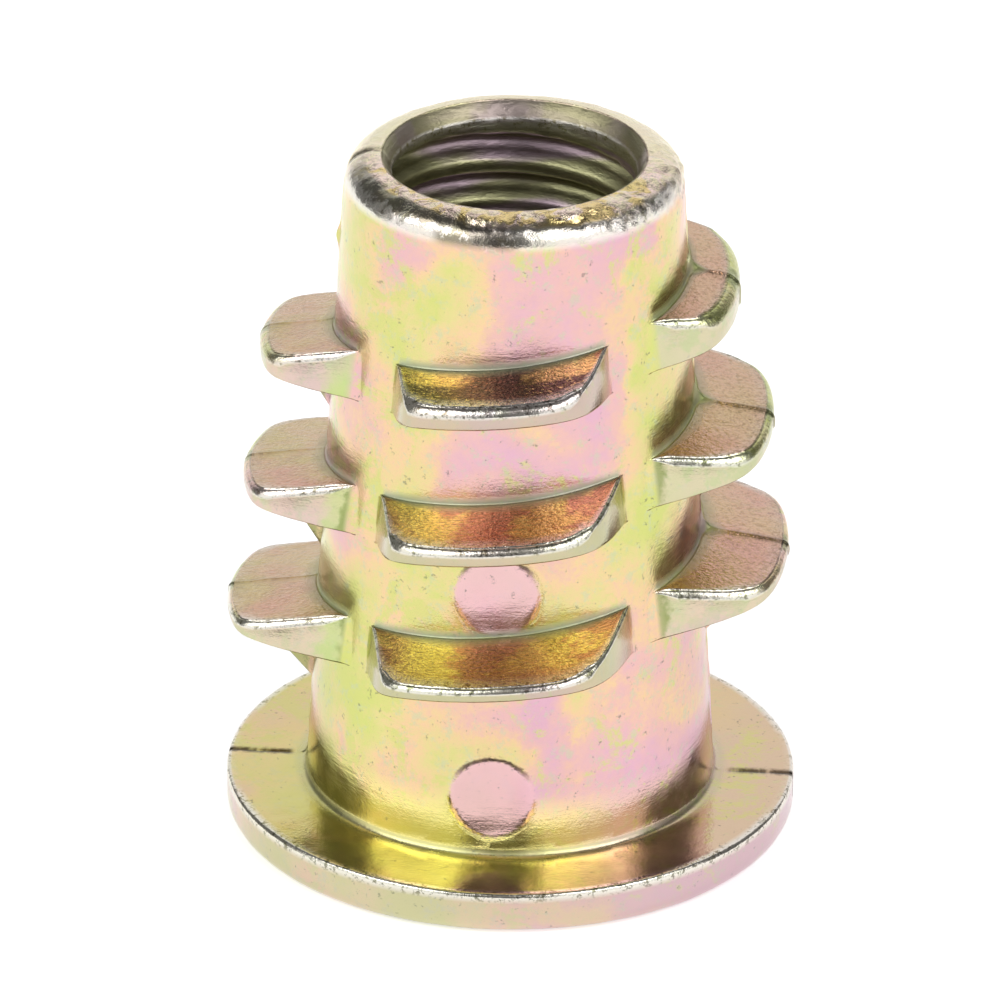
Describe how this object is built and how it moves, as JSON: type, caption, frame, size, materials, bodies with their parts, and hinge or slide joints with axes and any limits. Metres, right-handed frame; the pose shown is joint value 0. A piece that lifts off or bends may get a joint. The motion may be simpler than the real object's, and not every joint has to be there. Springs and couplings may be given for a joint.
{
  "type": "threaded insert",
  "caption": "Flanged screw-in threaded insert with a tapered body, interrupted coarse outer thread, metric bore and hex socket.",
  "frame": {"origin": "centre of the flange's outer face, on the bore's axis", "axes": "+Z along the bore from the flange to the tip; the die parts along X and opens along Y"},
  "size_m": [0.02, 0.02, 0.0252],
  "materials": {
    "zinc_body": "cast metal, yellow chromate plating with a pale iridescent sheen"
  },
  "bodies": {
    "root": {"insert_body": "zinc_body"}
  },
  "joints": []
}
